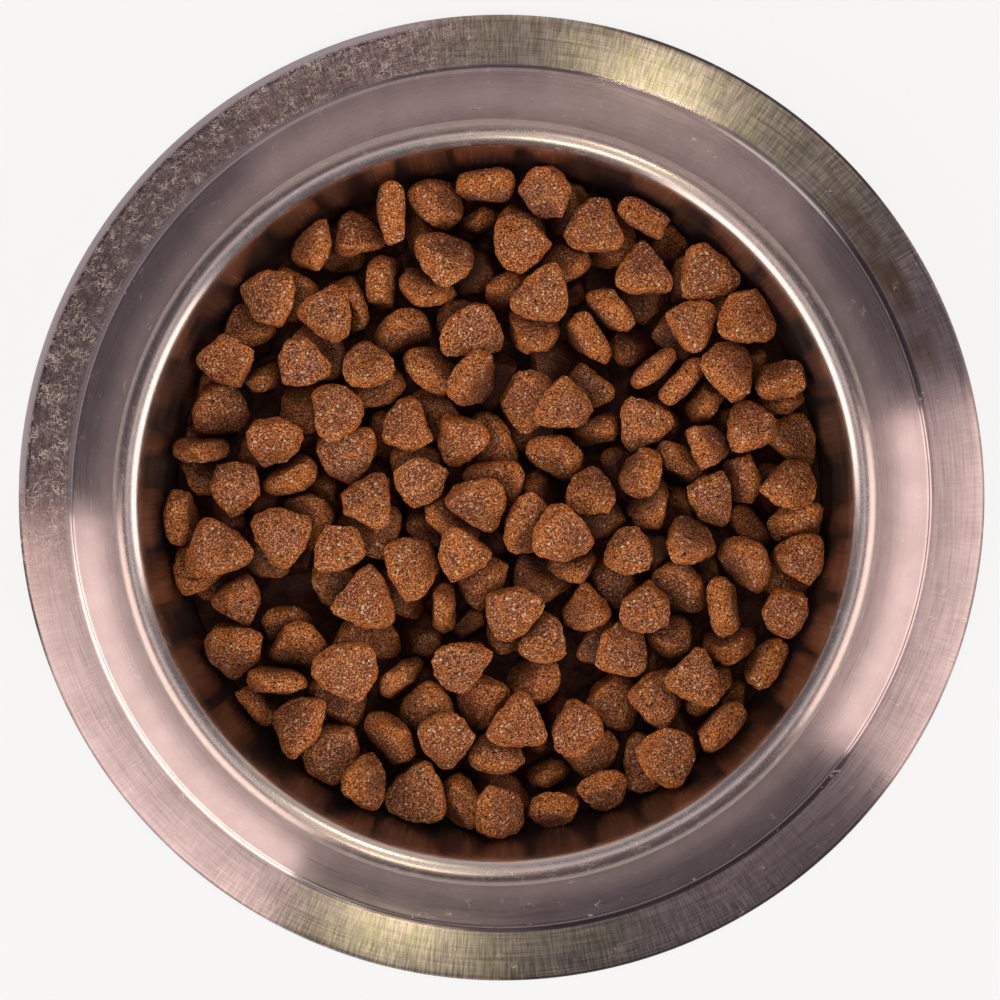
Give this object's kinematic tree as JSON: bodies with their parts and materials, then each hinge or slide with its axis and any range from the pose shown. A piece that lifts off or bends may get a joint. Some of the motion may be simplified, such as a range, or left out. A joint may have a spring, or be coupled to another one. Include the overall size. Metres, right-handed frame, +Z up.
{
  "type": "pet food bowl filled with dry kibble",
  "caption": "Wide-footed non-tip steel pet bowl: a drawn cup folded over a flared skirt with a turned-under foot, filled with dry kibble.",
  "frame": {"origin": "centre of the foot ring, on the surface that the bowl stands on", "axes": "+Z up along the bowl's axis, out of its mouth; +Y to the top of the picture and +X to its right"},
  "size_m": [0.203, 0.203, 0.04],
  "materials": {
    "cup_steel": "polished inside, satin lip worn bright on its crest",
    "skirt_steel": "satin, brushed round the bowl, scuffed on the flange",
    "kibble": "matte, baked and grainy"
  },
  "bodies": {
    "root": {"cup": "cup_steel", "skirt": "skirt_steel", "kibble_bed": "kibble", "kibble_01": "kibble", "kibble_02": "kibble", "kibble_03": "kibble", "kibble_04": "kibble", "kibble_05": "kibble", "kibble_06": "kibble", "kibble_07": "kibble", "kibble_08": "kibble", "kibble_09": "kibble", "kibble_10": "kibble", "kibble_11": "kibble", "kibble_12": "kibble", "kibble_13": "kibble", "kibble_14": "kibble", "kibble_15": "kibble", "kibble_16": "kibble", "kibble_17": "kibble", "kibble_18": "kibble", "kibble_19": "kibble", "kibble_20": "kibble", "kibble_21": "kibble", "kibble_22": "kibble", "kibble_23": "kibble", "kibble_24": "kibble", "kibble_25": "kibble", "kibble_26": "kibble", "kibble_27": "kibble", "kibble_28": "kibble", "kibble_29": "kibble", "kibble_30": "kibble", "kibble_31": "kibble", "kibble_32": "kibble", "kibble_33": "kibble", "kibble_34": "kibble", "kibble_35": "kibble", "kibble_36": "kibble", "kibble_37": "kibble", "kibble_38": "kibble", "kibble_39": "kibble", "kibble_40": "kibble", "kibble_41": "kibble", "kibble_42": "kibble", "kibble_43": "kibble", "kibble_44": "kibble", "kibble_45": "kibble", "kibble_46": "kibble", "kibble_47": "kibble", "kibble_48": "kibble", "kibble_49": "kibble", "kibble_50": "kibble", "kibble_51": "kibble", "kibble_52": "kibble", "kibble_53": "kibble", "kibble_54": "kibble", "kibble_55": "kibble", "kibble_56": "kibble", "kibble_57": "kibble"}
  },
  "joints": []
}
